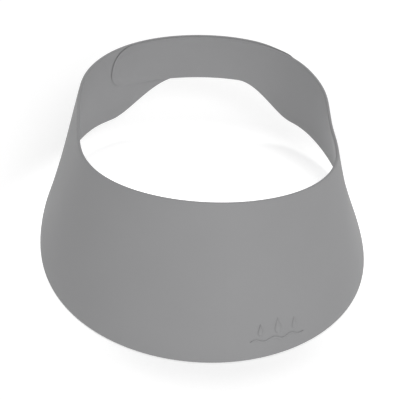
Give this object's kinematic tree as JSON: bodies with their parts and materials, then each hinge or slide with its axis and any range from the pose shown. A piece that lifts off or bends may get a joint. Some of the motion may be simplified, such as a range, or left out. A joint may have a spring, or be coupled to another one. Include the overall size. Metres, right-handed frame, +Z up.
{
  "type": "silicone bath visor",
  "caption": "Soft silicone bath visor for a child: a deep brim at the front narrows to a strap that laps and pegs closed at the back.",
  "frame": {"origin": "middle of the footprint, on the surface that the lower edge of the brim stands on", "axes": "-Y towards the brim, +Y towards the back strap, +Z up through the head opening; +X is to the right as seen from in front"},
  "size_m": [0.1598, 0.2029, 0.064],
  "materials": {
    "grey_silicone": "matte, fine satin moulding texture"
  },
  "bodies": {
    "brim": {"brim": "grey_silicone"},
    "left_side": {"left_side": "grey_silicone"},
    "right_side": {"right_side": "grey_silicone"},
    "outer_strap": {"outer_strap": "grey_silicone"},
    "inner_strap": {"inner_strap": "grey_silicone", "tip_peg": "grey_silicone", "end_peg": "grey_silicone"}
  },
  "joints": [
    {"name": "outer_strap_flex", "type": "hinge", "parent": "left_side", "child": "outer_strap", "pos_m": [-0.06929, 0.02877, 0.02736], "axis": [0.287, -0.0538, 0.9564], "range_deg": [0, 75], "deforming": ["tip_peg", "end_peg"]},
    {"name": "left_side_flex", "type": "hinge", "parent": "brim", "child": "left_side", "pos_m": [-0.06886, -0.02444, 0.02763], "axis": [0.3149, 0.1834, 0.9312], "range_deg": [0, 30]},
    {"name": "right_side_flex", "type": "hinge", "parent": "brim", "child": "right_side", "pos_m": [0.06902, -0.02182, 0.02697], "axis": [0.301, -0.1755, -0.9373], "range_deg": [0, 7.5]},
    {"name": "inner_strap_flex", "type": "hinge", "parent": "right_side", "child": "inner_strap", "pos_m": [0.07165, 0.02828, 0.02707], "axis": [0.2793, 0.0526, -0.9588], "range_deg": [0, 22.5]}
  ],
  "couplings": [
    {"joint": "left_side_flex", "follows": "outer_strap_flex", "ratio": 0.4},
    {"joint": "right_side_flex", "follows": "outer_strap_flex", "ratio": 0.1},
    {"joint": "inner_strap_flex", "follows": "outer_strap_flex", "ratio": 0.3}
  ]
}
